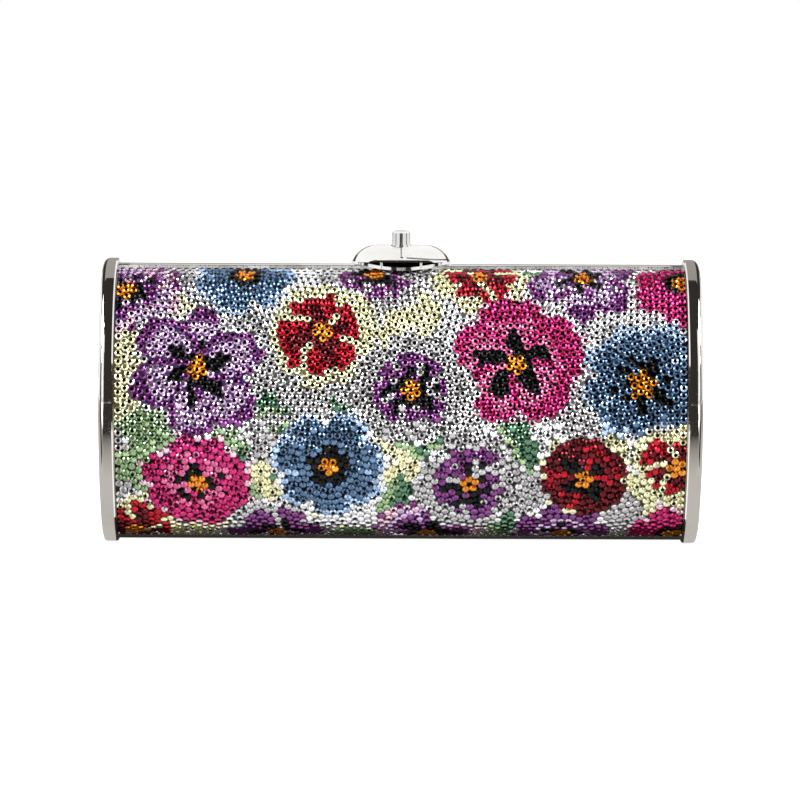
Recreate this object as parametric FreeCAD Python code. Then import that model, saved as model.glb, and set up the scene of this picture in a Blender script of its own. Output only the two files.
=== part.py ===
import FreeCAD, Part

import math
import os

from FreeCAD import Vector

# Lengths are millimetres and angles are degrees.
# X runs along the case, the front faces minus Y, Z is up and the case stands on Z = 0.
# The rear half is the fixed one. The front half swings about the hinge at the bottom.

# The oval barrel and its end caps
overall_width = 184.0
cap_half_height = 44.4
cap_half_depth = 28.6
cap_thickness = 4.6
cap_edge_radius = 2.0
cap_inner_bevel = 0.4
cap_face_wall = 1.4
cap_seat_width = 1.8
foot_flat_rise = 0.8
rim_stand = 2.2
stone_height = 1.0
stone_bed_gap = 0.1
stone_edge_gap = 0.1
shell_wall = 0.8
end_wall = 0.8

# The seam between the halves
seam_gap = 0.2
fit_gap = 0.05
open_angle = 60.0
mitre_margin_angle = 0.75

# The mouth frames
frame_stand = 0.7
frame_depth = 3.0
frame_edge_radius = 0.35
top_rail_height = 5.5
hinge_rail_height = 7.6
side_rail_width = 4.0
mouth_corner_radius = 6.0
flange_reach = 4.0
flange_thickness = 0.7
flange_gap = 0.1
lip_thickness = 0.8
lip_reach = 1.2
lip_clearance = 0.3
lip_centre_gap = 34.0
lip_foot_rise = 14.0

# The leather linings
lining_gap = 0.3
lining_thickness = 0.8
lining_setback = 0.2

# The piano hinge
hinge_axis_height = 3.0
hinge_end_margin = 7.4
knuckle_count = 15
knuckle_radius = 1.5
knuckle_end_gap = 0.2
knuckle_clearance = 0.35
pin_radius = 0.75
pin_clearance = 0.05
pin_head_radius = 1.1
pin_head_length = 0.5
hinge_leaf_thickness = 0.8
hinge_leaf_gap = 0.15
hinge_leaf_top_gap = 0.8
hinge_screw_count = 7
hinge_screw_radius = 0.6
hinge_screw_head_radius = 1.1
hinge_screw_head_depth = 0.5
hinge_screw_length = 2.2

# The screws that hold the end caps
cap_screw_radius = 0.9
cap_screw_head_radius = 1.7
cap_screw_head_height = 0.8
cap_screw_depth = 2.2
cap_screw_slot_width = 0.5
cap_screw_slot_depth = 0.4
cap_boss_radius = 2.4
cap_screw_depth_shares = (0.42, 0.62, 0.42)
cap_screw_height_shares = (0.55, 0.0, -0.55)

# The clasp dome and the saddle plate under it
dome_half_width = 15.2
dome_half_depth = 7.8
dome_height = 5.05
dome_sink = 0.1
dome_step_rise = 1.5
dome_step_fall = 0.9
dome_seam_gap = 0.4
saddle_margin = 0.4
saddle_thickness = 0.9
saddle_post_share = 0.4
saddle_post_radius = 0.5
saddle_post_inset = 1.3
clasp_block_setback = 1.2
clasp_block_depth = 5.4
clasp_screw_radius = 0.6
clasp_screw_head_radius = 1.1
clasp_screw_head_height = 0.7
clasp_screw_reach = 2.4
clasp_screw_setback = 2.0
clasp_screw_shares = (0.4, 0.72)

# The push button, its guide and its spring
button_radius = 2.8
button_proud = 4.3
button_sunk = 1.8
button_edge = 0.6
button_clearance = 0.05
guide_wall = 0.45
guide_floor = 1.0
guide_rise = 2.0
front_guide_clearance = 0.3
stem_radius = 1.1
stem_clearance = 0.08
stem_tip_gap = 0.1
clip_radius = 2.2
clip_thickness = 0.5
clip_groove_depth = 0.3
clip_gap = 0.05
spring_wire_radius = 0.2
spring_radius = 2.0
spring_turns = 5
spring_end_gap = 0.05

# The latch
spacer_height = 1.8
blade_thickness = 0.5
blade_near = 0.5
blade_width = 2.4
blade_anchor_end = 24.0
blade_anchor_length = 7.0
blade_head_half_width = 4.6
catch_lip_height = 1.4
catch_lip_thickness = 0.5
catch_gap = 0.1
hook_plate_thickness = 0.8
hook_nose_drop = 1.6
hook_nose_thickness = 0.6
hook_nose_half_width = 3.5
hook_nose_setback = 3.7
hook_plate_share = 0.86
hook_seam_gap = 0.3
latch_rivet_radius = 0.5
latch_rivet_head_radius = 1.0
latch_rivet_head_height = 0.4
latch_rivet_depth = 1.5
latch_rivet_spacing = 3.4

# How far cutting tools run past what they cut
overrun = 1.0

FRONT = -1
REAR = 1
LEFT = -1
RIGHT = 1

body_end = overall_width / 2 - cap_thickness
cap_face = overall_width / 2
oval_centre = cap_half_height - foot_flat_rise
half_seam = seam_gap / 2
reach = overall_width

# Every oval is the caps' oval made smaller by an inset
frame_inset = rim_stand - frame_stand
stone_inset = rim_stand
shell_inset = rim_stand + stone_height
cavity_inset = shell_inset + shell_wall
flange_inset = cavity_inset + flange_gap
lining_inset = flange_inset + flange_thickness + lining_gap
saddle_inset = frame_inset - fit_gap

frame_top = oval_centre + cap_half_height - frame_inset
frame_foot = oval_centre - cap_half_height + frame_inset
mouth_top = frame_top - top_rail_height
mouth_foot = frame_foot + hinge_rail_height
mouth_half_width = body_end - side_rail_width
lining_end = body_end - end_wall - cap_screw_head_height - lining_gap

hinge_length = 2 * (body_end - hinge_end_margin)
leaf_face = hinge_leaf_gap + hinge_leaf_thickness
leaf_foot = hinge_axis_height + knuckle_radius + knuckle_clearance
leaf_top = mouth_foot - hinge_leaf_top_gap
knuckle_pitch = hinge_length / knuckle_count

saddle_top = frame_top + fit_gap + saddle_thickness
saddle_half_width = dome_half_width + saddle_margin
saddle_half_depth = dome_half_depth + saddle_margin
clasp_block_half_width = dome_half_width - clasp_block_setback
hook_plate_end = dome_half_width * hook_plate_share
dome_foot = saddle_top - dome_sink
dome_top = dome_foot + dome_height
guide_radius = button_radius + button_clearance + guide_wall
guide_foot = mouth_top + guide_rise
front_guide_radius = guide_radius + front_guide_clearance
blade_top = mouth_top - spacer_height
button_underside = dome_top - button_sunk


def block(x_from, x_to, y_from, y_to, z_from, z_to):
    low = Vector(min(x_from, x_to), min(y_from, y_to), min(z_from, z_to))
    high = Vector(max(x_from, x_to), max(y_from, y_to), max(z_from, z_to))
    size = high - low
    return Part.makeBox(size.x, size.y, size.z, low)


def rod_x(radius, x_from, x_to, y, z):
    start = Vector(min(x_from, x_to), y, z)
    return Part.makeCylinder(radius, abs(x_to - x_from), start, Vector(1, 0, 0))


def rod_y(radius, y_from, y_to, x, z):
    start = Vector(x, min(y_from, y_to), z)
    return Part.makeCylinder(radius, abs(y_to - y_from), start, Vector(0, 1, 0))


def rod_z(radius, z_from, z_to, x, y):
    start = Vector(x, y, min(z_from, z_to))
    return Part.makeCylinder(radius, abs(z_to - z_from), start)


def oval_bar(inset, x_from, x_to):
    # A draughtsman's oval of four arcs, so every inset one runs parallel to the caps' own
    diagonal = math.hypot(cap_half_height, cap_half_depth)
    excess = cap_half_height - cap_half_depth
    end_radius = diagonal * (diagonal - excess) / (2 * cap_half_height)
    side_radius = diagonal * (diagonal + excess) / (2 * cap_half_depth)
    end_centre = cap_half_height - end_radius
    joint = Vector(0, side_radius - cap_half_depth, end_centre).normalize() * (end_radius - inset)
    y_joint = joint.y
    z_joint = end_centre + joint.z
    half_height = cap_half_height - inset
    half_depth = cap_half_depth - inset
    corners = [Vector(0, y_joint, -z_joint), Vector(0, y_joint, z_joint),
               Vector(0, -y_joint, z_joint), Vector(0, -y_joint, -z_joint)]
    middles = [Vector(0, half_depth, 0), Vector(0, 0, half_height),
               Vector(0, -half_depth, 0), Vector(0, 0, -half_height)]
    edges = []
    for index, middle in enumerate(middles):
        following = corners[(index + 1) % len(corners)]
        edges.append(Part.Arc(corners[index], middle, following).toShape())
    face = Part.Face(Part.Wire(edges))
    face.translate(Vector(x_from, 0, oval_centre))
    return face.extrude(Vector(x_to - x_from, 0, 0))


def beyond(side, depth):
    return block(-reach, reach, side * depth, side * reach, -reach, reach)


def hinge_mitre():
    # The V along the bottom that lets the halves swing and stops them when open
    half_angle = math.radians(open_angle / 2 + mitre_margin_angle)
    drop = hinge_axis_height + overrun
    spread = drop * math.tan(half_angle)
    apex = Vector(-reach, 0, hinge_axis_height)
    left = Vector(-reach, -spread, -overrun)
    right = Vector(-reach, spread, -overrun)
    face = Part.Face(Part.makePolygon([apex, left, right, apex]))
    return face.extrude(Vector(2 * reach, 0, 0))


def cap_screw_places(side):
    places = []
    for depth_share, height_share in zip(cap_screw_depth_shares, cap_screw_height_shares):
        y = side * depth_share * (cap_half_depth - cavity_inset)
        z = oval_centre + height_share * (cap_half_height - cavity_inset)
        places.append((y, z))
    return places


def guide_bore(side):
    # The rear half holds the button's guide and the front half swings clear of it
    radius = front_guide_radius if side == FRONT else guide_radius + fit_gap
    return rod_z(radius, mouth_top - overrun, dome_top + overrun, 0, 0)


def shell(side):
    tub = oval_bar(shell_inset, -body_end, body_end)
    cavity_end = body_end - end_wall
    tub = tub.cut(oval_bar(cavity_inset, -cavity_end, cavity_end))
    tub = tub.common(beyond(side, frame_depth))
    tub = tub.cut(guide_bore(side))
    for y, z in cap_screw_places(side):
        tub = tub.cut(rod_x(cap_screw_radius + fit_gap, -cap_face, cap_face, y, z))
    return tub


def stone_skin(side):
    end = body_end - stone_edge_gap
    skin = oval_bar(stone_inset, -end, end)
    skin = skin.cut(oval_bar(shell_inset - stone_bed_gap, -body_end, body_end))
    skin = skin.common(beyond(side, frame_depth + stone_edge_gap))
    return skin.cut(guide_bore(side))


def mouth_opening(grow, y_from, y_to):
    half_width = mouth_half_width + grow
    opening = block(-half_width, half_width, y_from, y_to, mouth_foot - grow, mouth_top + grow)
    upright = []
    for edge in opening.Edges:
        box = edge.BoundBox
        if box.YLength > box.XLength + box.ZLength:
            upright.append(edge)
    return opening.makeFillet(mouth_corner_radius + grow, upright)


def lip_zone(grow, y_from, y_to):
    # The band round the mouth that the alignment lip fills, open at the clasp and at the hinge
    band = mouth_opening(lip_thickness + grow, y_from, y_to)
    band = band.cut(mouth_opening(0, y_from - overrun, y_to + overrun))
    foot = mouth_foot + lip_foot_rise - grow
    band = band.cut(block(-reach, reach, -reach, reach, -reach, foot))
    gap = lip_centre_gap / 2 - grow
    return band.cut(block(-gap, gap, -reach, reach, foot, reach))


def hinge_screw_places():
    spacing = hinge_length / hinge_screw_count
    first = -hinge_length / 2 + spacing / 2
    z = (leaf_foot + leaf_top) / 2
    return [(first + spacing * index, z) for index in range(hinge_screw_count)]


def clasp_screw_places(side):
    places = []
    for share in clasp_screw_shares:
        places.append((side * share * dome_half_width, side * clasp_screw_setback))
    return places


def latch_rivet_places():
    middle = -blade_anchor_end + blade_anchor_length / 2
    y = blade_near + blade_width / 2
    return [(middle + turn * latch_rivet_spacing / 2, y) for turn in (LEFT, RIGHT)]


def mouth_frame(side):
    slab = block(-reach, reach, side * half_seam, side * frame_depth, -reach, reach)
    ring = oval_bar(frame_inset, -body_end, body_end).common(slab)
    top_edges = []
    for edge in ring.Edges:
        if edge.BoundBox.XLength > body_end and edge.CenterOfMass.z > oval_centre:
            top_edges.append(edge)
    ring = ring.makeFillet(frame_edge_radius, top_edges)
    ring = ring.cut(mouth_opening(0, -frame_depth - overrun, frame_depth + overrun))
    flange_end = body_end - end_wall - flange_gap
    flange = oval_bar(flange_inset, -flange_end, flange_end)
    seat = block(-clasp_block_half_width, clasp_block_half_width, side * half_seam,
                 side * clasp_block_depth, mouth_top, reach)
    seat = seat.common(flange)
    flange = flange.cut(oval_bar(flange_inset + flange_thickness, -body_end, body_end))
    strip = block(-reach, reach, side * (frame_depth - overrun), side * (frame_depth + flange_reach),
                  -reach, reach)
    ring = ring.fuse([flange.common(strip), seat])
    if side == REAR:
        ring = ring.fuse(lip_zone(0, -lip_reach, half_seam + overrun))
    else:
        ring = ring.cut(lip_zone(lip_clearance, -lip_reach - lip_clearance, overrun))
    hinge_half = hinge_length / 2 + pin_head_length + knuckle_clearance
    recess = block(-hinge_half, hinge_half, 0, side * (leaf_face + fit_gap),
                   hinge_axis_height, leaf_top + fit_gap)
    groove = rod_x(knuckle_radius + knuckle_clearance, -hinge_half, hinge_half, 0, hinge_axis_height)
    ring = ring.cut([recess, groove, hinge_mitre()])
    for x, z in hinge_screw_places():
        hole_end = side * (hinge_leaf_gap + hinge_screw_length + fit_gap)
        ring = ring.cut(rod_y(hinge_screw_radius + fit_gap, 0, hole_end, x, z))
    ring = ring.cut(guide_bore(side))
    for x, y in clasp_screw_places(side):
        ring = ring.cut(rod_z(clasp_screw_radius + fit_gap, mouth_top - overrun, frame_top + overrun, x, y))
    if side == REAR:
        for x, y in latch_rivet_places():
            hole_top = mouth_top + latch_rivet_depth + fit_gap
            ring = ring.cut(rod_z(latch_rivet_radius + fit_gap, mouth_top - overrun, hole_top, x, y))
    return ring.removeSplitter()


def edges_at_x(form, x):
    edges = []
    for edge in form.Edges:
        flat = edge.BoundBox.XLength < fit_gap
        if flat and abs(edge.CenterOfMass.x - x) < fit_gap:
            edges.append(edge)
    return edges


def end_cap(side, hand):
    disc = oval_bar(0, hand * body_end, hand * cap_face)
    cap = disc.makeFillet(cap_edge_radius, edges_at_x(disc, hand * cap_face))
    cap = cap.makeChamfer(cap_inner_bevel, edges_at_x(cap, hand * body_end))
    pocket_floor = hand * (cap_face - cap_face_wall)
    pocket = oval_bar(shell_inset + cap_seat_width, hand * (body_end - overrun), pocket_floor)
    pocket = pocket.common(beyond(side, frame_depth + cap_seat_width))
    for y, z in cap_screw_places(side):
        pocket = pocket.cut(rod_x(cap_boss_radius, hand * (body_end - overrun), hand * cap_face, y, z))
    cap = cap.cut(pocket)
    for y, z in cap_screw_places(side):
        hole_end = hand * (body_end + cap_screw_depth + fit_gap)
        cap = cap.cut(rod_x(cap_screw_radius + fit_gap, hand * (body_end - overrun), hole_end, y, z))
    cap = cap.common(beyond(side, half_seam))
    cap = cap.cut([block(-reach, reach, -reach, reach, -reach, 0), hinge_mitre()])
    return cap.removeSplitter()


def cap_screws(side):
    screws = []
    for hand in (LEFT, RIGHT):
        seat = hand * (body_end - end_wall)
        head_top = hand * (body_end - end_wall - cap_screw_head_height)
        slot_foot = head_top + hand * cap_screw_slot_depth
        for y, z in cap_screw_places(side):
            head = rod_x(cap_screw_head_radius, head_top, seat, y, z)
            shank = rod_x(cap_screw_radius, seat - hand * fit_gap, hand * (body_end + cap_screw_depth), y, z)
            slot = block(head_top - hand * overrun, slot_foot, y - cap_screw_head_radius - overrun,
                         y + cap_screw_head_radius + overrun, z - cap_screw_slot_width / 2,
                         z + cap_screw_slot_width / 2)
            screws.append(head.fuse(shank).cut(slot).removeSplitter())
    return Part.makeCompound(screws)


def lining(side):
    tub = oval_bar(lining_inset, -lining_end, lining_end)
    inner_end = lining_end - lining_thickness
    tub = tub.cut(oval_bar(lining_inset + lining_thickness, -inner_end, inner_end))
    tub = tub.common(beyond(side, frame_depth + lining_setback))
    half_width = clasp_block_half_width + lining_gap
    notch = block(-half_width, half_width, 0, side * (clasp_block_depth + lining_gap),
                  mouth_top - spacer_height, reach)
    return tub.cut(notch)


def knuckle_spans(side):
    # The rear leaf has the outermost knuckles and the front leaf those between
    start = 0 if side == REAR else 1
    spans = []
    for index in range(start, knuckle_count, 2):
        x_from = -hinge_length / 2 + index * knuckle_pitch
        spans.append((x_from + knuckle_end_gap / 2, x_from + knuckle_pitch - knuckle_end_gap / 2))
    return spans


def hinge_screw(side, x, z, grow, length):
    face = side * (hinge_leaf_gap - grow)
    axis = Vector(0, side, 0)
    head = Part.makeCone(hinge_screw_head_radius + grow, hinge_screw_radius + grow,
                         hinge_screw_head_depth, Vector(x, face, z), axis)
    shank = Part.makeCylinder(hinge_screw_radius + grow, length + grow, Vector(x, face, z), axis)
    return head.fuse(shank).removeSplitter()


def hinge_leaf(side):
    half_length = hinge_length / 2
    leaf = block(-half_length, half_length, side * hinge_leaf_gap, side * leaf_face, leaf_foot, leaf_top)
    for x_from, x_to in knuckle_spans(side):
        barrel = rod_x(knuckle_radius, x_from, x_to, 0, hinge_axis_height)
        web = block(x_from, x_to, side * hinge_leaf_gap, side * leaf_face, hinge_axis_height, leaf_foot)
        leaf = leaf.fuse([barrel, web])
    leaf = leaf.cut(rod_x(pin_radius + pin_clearance, -reach, reach, 0, hinge_axis_height))
    for x, z in hinge_screw_places():
        leaf = leaf.cut(hinge_screw(side, x, z, fit_gap, hinge_screw_length))
    return leaf.removeSplitter()


def hinge_screws(side):
    places = hinge_screw_places()
    return Part.makeCompound([hinge_screw(side, x, z, 0, hinge_screw_length) for x, z in places])


def hinge_pin():
    half_length = hinge_length / 2 + knuckle_end_gap / 2
    pin = rod_x(pin_radius, -half_length, half_length, 0, hinge_axis_height)
    for hand in (LEFT, RIGHT):
        head_end = hand * (half_length + pin_head_length)
        pin = pin.fuse(rod_x(pin_head_radius, hand * half_length, head_end, 0, hinge_axis_height))
    return pin.removeSplitter()


def dome():
    # A round bar with ball ends, of which only the upper part stands on the saddles
    radius = (dome_half_depth ** 2 + dome_height ** 2) / (2 * dome_height)
    half_length = dome_half_width - dome_half_depth
    slant = radius * math.sqrt(1 / 2)
    left_tip = Vector(-half_length - radius, 0, 0)
    left_bend = Vector(-half_length - slant, 0, slant)
    left_top = Vector(-half_length, 0, radius)
    right_top = Vector(half_length, 0, radius)
    right_bend = Vector(half_length + slant, 0, slant)
    right_tip = Vector(half_length + radius, 0, 0)
    edges = [Part.Arc(left_tip, left_bend, left_top).toShape(), Part.makeLine(left_top, right_top),
             Part.Arc(right_top, right_bend, right_tip).toShape(), Part.makeLine(right_tip, left_tip)]
    bar = Part.Face(Part.Wire(edges)).revolve(Vector(0, 0, 0), Vector(1, 0, 0), 360)
    bar.translate(Vector(0, 0, dome_top - radius))
    form = bar.common(block(-reach, reach, -reach, reach, dome_foot, reach))
    return form.cut(oval_bar(saddle_inset - saddle_thickness - fit_gap, -reach, reach))


def step_roof(lift):
    # All below the step that parts the clasp's upper half from its lower half
    crest = dome_foot + dome_step_rise + lift
    eave = crest - dome_step_fall * reach / dome_half_width
    corners = [Vector(-reach, -reach, eave), Vector(0, -reach, crest), Vector(reach, -reach, eave),
               Vector(reach, -reach, -reach), Vector(-reach, -reach, -reach)]
    face = Part.Face(Part.makePolygon(corners + [corners[0]]))
    return face.extrude(Vector(0, 2 * reach, 0))


def clasp_dome(side):
    # The front piece holds the left of the dome and the rear piece the right, each over its own half foot
    form = dome()
    half_gap = dome_seam_gap / 2
    upper = form.common(block(side * half_gap, side * reach, -reach, reach, -reach, reach))
    behind = block(-reach, reach, side * half_gap, -side * reach, -reach, reach)
    upper = upper.cut(step_roof(half_gap).common(behind))
    lower = form.common(beyond(side, half_gap)).common(step_roof(-half_gap))
    piece = upper.fuse(lower)
    far = dome_top + overrun
    if side == FRONT:
        slot = block(-front_guide_radius, half_gap, 0, reach, dome_foot - overrun, far)
        piece = piece.cut(slot)
    else:
        fill = block(dome_seam_gap - front_guide_radius, half_gap + overrun, half_gap, reach,
                     dome_foot - overrun, far)
        piece = piece.fuse(form.common(fill))
    piece = piece.cut(guide_bore(side))
    for x, y in clasp_screw_places(side):
        hole_top = saddle_top + clasp_screw_reach + fit_gap
        piece = piece.cut(rod_z(clasp_screw_radius + fit_gap, dome_foot - overrun, hole_top, x, y))
    return piece.removeSplitter()


def saddle(side):
    plate = oval_bar(saddle_inset - saddle_thickness, -saddle_half_width, saddle_half_width)
    plate = plate.cut(oval_bar(saddle_inset, -reach, reach))
    radius = (saddle_half_width ** 2 + saddle_half_depth ** 2) / (2 * saddle_half_depth)
    shift = radius - saddle_half_depth
    for turn in (FRONT, REAR):
        plate = plate.common(rod_z(radius, oval_centre, reach, 0, turn * shift))
    core = oval_bar(saddle_inset, -reach, reach)
    for turn in (LEFT, RIGHT):
        post = rod_z(saddle_post_radius, oval_centre, dome_foot - fit_gap,
                     turn * saddle_post_share * dome_half_width,
                     side * (saddle_half_depth - saddle_post_inset))
        plate = plate.fuse(post.cut(core))
    plate = plate.common(beyond(side, half_seam))
    plate = plate.cut(guide_bore(side))
    for x, y in clasp_screw_places(side):
        plate = plate.cut(rod_z(clasp_screw_radius + fit_gap, oval_centre, reach, x, y))
    return plate.removeSplitter()


def clasp_screws(side):
    seat = mouth_top - hook_plate_thickness if side == FRONT else mouth_top
    screws = []
    for x, y in clasp_screw_places(side):
        head = rod_z(clasp_screw_head_radius, seat - clasp_screw_head_height, seat, x, y)
        shank = rod_z(clasp_screw_radius, seat - fit_gap, saddle_top + clasp_screw_reach, x, y)
        screws.append(head.fuse(shank).removeSplitter())
    return Part.makeCompound(screws)


def button_guide():
    tube = rod_z(guide_radius, guide_foot, dome_top, 0, 0)
    bore_radius = button_radius + button_clearance
    tube = tube.cut(rod_z(bore_radius, guide_foot + guide_floor, dome_top + overrun, 0, 0))
    return tube.cut(rod_z(stem_radius + stem_clearance, guide_foot - overrun, dome_top, 0, 0))


def push_button():
    head = rod_z(button_radius, button_underside, dome_top + button_proud, 0, 0)
    top_edges = []
    for edge in head.Edges:
        if abs(edge.CenterOfMass.z - dome_top - button_proud) < button_edge / 2:
            top_edges.append(edge)
    head = head.makeChamfer(button_edge, top_edges)
    stem = rod_z(stem_radius, blade_top + stem_tip_gap, button_underside, 0, 0)
    groove_top = guide_foot - clip_gap
    groove = rod_z(stem_radius + overrun, groove_top - clip_thickness, groove_top, 0, 0)
    groove = groove.cut(rod_z(stem_radius - clip_groove_depth, mouth_top, dome_top, 0, 0))
    return head.fuse(stem).cut(groove).removeSplitter()


def button_clip():
    groove_top = guide_foot - clip_gap
    ring = rod_z(clip_radius, groove_top - clip_thickness, groove_top, 0, 0)
    ring = ring.cut(rod_z(stem_radius - clip_groove_depth + fit_gap, mouth_top, dome_top, 0, 0))
    mouth = stem_radius - clip_groove_depth
    return ring.cut(block(0, clip_radius + overrun, -mouth, mouth, mouth_top, dome_top))


def coil_point(height, turn_share):
    angle = 2 * math.pi * spring_turns * turn_share
    return Vector(spring_radius * math.cos(angle), spring_radius * math.sin(angle), height * turn_share)


def coil_tangent(height, turn_share):
    sweep = 2 * math.pi * spring_turns
    angle = sweep * turn_share
    along = Vector(-spring_radius * sweep * math.sin(angle), spring_radius * sweep * math.cos(angle), height)
    return along.normalize()


def tangent_arc(start, corner, end):
    # The arc that touches both legs of a corner with legs of one length
    middle = (start + end) / 2
    lean = (middle - start).Length / (corner - start).Length
    return Part.Arc(start, middle + (corner - middle) * (lean / (1 + lean)), end).toShape()


def coil_path(height):
    # Two tangent arcs to each quarter turn
    steps = 4 * spring_turns
    edges = []
    for step in range(steps):
        start = coil_point(height, step / steps)
        end = coil_point(height, (step + 1) / steps)
        leaving = coil_tangent(height, step / steps)
        arriving = coil_tangent(height, (step + 1) / steps)
        chord = end - start
        both = leaving + arriving
        spread = 2 * (1 - leaving.dot(arriving))
        leg = (math.sqrt(chord.dot(both) ** 2 + spread * chord.dot(chord)) - chord.dot(both)) / spread
        first_corner = start + leaving * leg
        second_corner = end - arriving * leg
        meeting = (first_corner + second_corner) / 2
        edges.append(tangent_arc(start, first_corner, meeting))
        edges.append(tangent_arc(meeting, second_corner, end))
    return Part.Wire(edges)


def button_spring():
    foot = guide_foot + guide_floor + spring_end_gap + spring_wire_radius
    head = button_underside - spring_end_gap - spring_wire_radius
    height = head - foot
    print("button_spring gap between turns", round(height / spring_turns - 2 * spring_wire_radius, 2))
    start = coil_point(height, 0)
    wire = Part.makeCircle(spring_wire_radius, start, coil_tangent(height, 0))
    coil = coil_path(height).makePipeShell([Part.Wire(wire)], True, False)
    coil.translate(Vector(0, 0, foot))
    return coil


def latch_spring():
    foot = blade_top - blade_thickness
    arm = block(-blade_anchor_end, blade_head_half_width, blade_near, blade_near + blade_width,
                foot, blade_top)
    lip_face = -hook_nose_setback - hook_nose_thickness - catch_gap
    lip_back = lip_face - catch_lip_thickness
    head = block(-blade_head_half_width, blade_head_half_width, lip_back, blade_near + blade_width,
                 foot, blade_top)
    lip = block(-hook_nose_half_width, hook_nose_half_width, lip_back, lip_face,
                foot, blade_top + catch_lip_height)
    blade = arm.fuse([head, lip])
    for x, y in latch_rivet_places():
        blade = blade.cut(rod_z(latch_rivet_radius + fit_gap, foot - overrun, blade_top + overrun, x, y))
    return blade.removeSplitter()


def latch_spacer():
    inner_end = -blade_anchor_end + blade_anchor_length
    spacer = block(-blade_anchor_end, inner_end, blade_near, blade_near + blade_width,
                   blade_top, mouth_top)
    hole_radius = latch_rivet_radius + fit_gap
    for x, y in latch_rivet_places():
        spacer = spacer.cut(rod_z(hole_radius, blade_top - overrun, mouth_top + overrun, x, y))
    return spacer


def latch_rivets():
    seat = blade_top - blade_thickness
    rivets = []
    for x, y in latch_rivet_places():
        head = rod_z(latch_rivet_head_radius, seat - latch_rivet_head_height, seat, x, y)
        shank = rod_z(latch_rivet_radius, seat - fit_gap, mouth_top + latch_rivet_depth, x, y)
        rivets.append(head.fuse(shank).removeSplitter())
    return Part.makeCompound(rivets)


def latch_hook():
    foot = mouth_top - hook_plate_thickness
    nose_face = -hook_nose_setback - hook_nose_thickness
    plate = block(-hook_plate_end, hook_nose_half_width, nose_face, -hook_seam_gap, foot, mouth_top)
    nose = block(-hook_nose_half_width, hook_nose_half_width, nose_face, -hook_nose_setback,
                 mouth_top - hook_nose_drop, mouth_top)
    hook = plate.fuse(nose)
    clearance = clip_radius + front_guide_clearance
    hook = hook.cut(rod_z(clearance, foot - hook_nose_drop, mouth_top + overrun, 0, 0))
    for x, y in clasp_screw_places(FRONT):
        hook = hook.cut(rod_z(clasp_screw_radius + fit_gap, foot - overrun, mouth_top + overrun, x, y))
    return hook.removeSplitter()


def half_nodes(side):
    return {
        "shell": shell(side),
        "crystals": stone_skin(side),
        "frame": mouth_frame(side),
        "left_cap": end_cap(side, LEFT),
        "right_cap": end_cap(side, RIGHT),
        "cap_screws": cap_screws(side),
        "lining": lining(side),
        "hinge_leaf": hinge_leaf(side),
        "hinge_screws": hinge_screws(side),
        "saddle": saddle(side),
        "clasp_dome": clasp_dome(side),
        "clasp_screws": clasp_screws(side),
    }


def all_nodes():
    nodes = {}
    for prefix, side in (("rear", REAR), ("front", FRONT)):
        for name, shape in half_nodes(side).items():
            nodes[prefix + "_" + name] = shape
    nodes["hinge_pin"] = hinge_pin()
    nodes["button_guide"] = button_guide()
    nodes["push_button"] = push_button()
    nodes["button_clip"] = button_clip()
    nodes["button_spring"] = button_spring()
    nodes["latch_spring"] = latch_spring()
    nodes["latch_spacer"] = latch_spacer()
    nodes["latch_rivets"] = latch_rivets()
    nodes["latch_hook"] = latch_hook()
    return nodes


os.makedirs("parts", exist_ok=True)
for node, shape in all_nodes().items():
    state = "valid" if shape.isValid() else "INVALID"
    print(node, state, len(shape.Solids), "solids", round(shape.Volume, 1))
    shape.exportStep("parts/" + node + ".step")
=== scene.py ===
import math
import random

import bmesh
import bpy
import numpy as np
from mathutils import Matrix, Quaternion, Vector, kdtree


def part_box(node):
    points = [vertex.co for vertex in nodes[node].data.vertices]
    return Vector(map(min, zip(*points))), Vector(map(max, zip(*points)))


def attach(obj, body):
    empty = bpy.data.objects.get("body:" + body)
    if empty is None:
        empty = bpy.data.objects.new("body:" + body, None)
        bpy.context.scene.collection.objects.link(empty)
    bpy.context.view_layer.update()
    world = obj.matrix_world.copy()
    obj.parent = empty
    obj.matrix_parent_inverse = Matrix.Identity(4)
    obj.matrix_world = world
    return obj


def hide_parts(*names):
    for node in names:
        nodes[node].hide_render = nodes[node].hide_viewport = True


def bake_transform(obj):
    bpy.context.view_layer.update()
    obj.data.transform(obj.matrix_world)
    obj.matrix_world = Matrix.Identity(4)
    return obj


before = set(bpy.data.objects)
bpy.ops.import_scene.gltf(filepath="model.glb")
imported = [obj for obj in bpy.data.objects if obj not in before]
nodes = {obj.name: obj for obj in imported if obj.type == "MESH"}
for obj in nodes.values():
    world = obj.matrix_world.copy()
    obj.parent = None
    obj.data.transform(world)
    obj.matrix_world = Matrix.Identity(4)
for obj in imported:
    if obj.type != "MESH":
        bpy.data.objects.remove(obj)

# The dictionaries hold millimetres and degrees, the scene itself is in metres
mm = 0.001
scene = bpy.context.scene
scene.view_settings.view_transform = "Standard"
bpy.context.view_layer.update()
print("frame loaded:", len(nodes), "parts")


# Small helpers for node trees and meshes

socketKinds = {float: "NodeSocketFloat", int: "NodeSocketInt", tuple: "NodeSocketVector"}


def openSocket(sockets, key):
    if isinstance(key, int):
        return sockets[key]
    return next(s for s in sockets if s.name == key and s.enabled)


def outOf(node, key):
    return openSocket(node.outputs, key)


def feed(tree, node, inputs):
    # an input is a value, a socket, or a node that gives its first output
    for key, value in inputs.items():
        entry = openSocket(node.inputs, key)
        if isinstance(value, bpy.types.Node):
            value = value.outputs[0]
        if isinstance(value, bpy.types.NodeSocket):
            tree.links.new(value, entry)
        else:
            entry.default_value = value


def addNode(tree, kind, inputs=None, **settings):
    node = tree.nodes.new(kind)
    for name, value in settings.items():
        setattr(node, name, value)
    feed(tree, node, inputs or {})
    return node


def maths(tree, operation, first, second=0.0):
    return addNode(tree, "ShaderNodeMath", {0: first, 1: second}, operation=operation)


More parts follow.
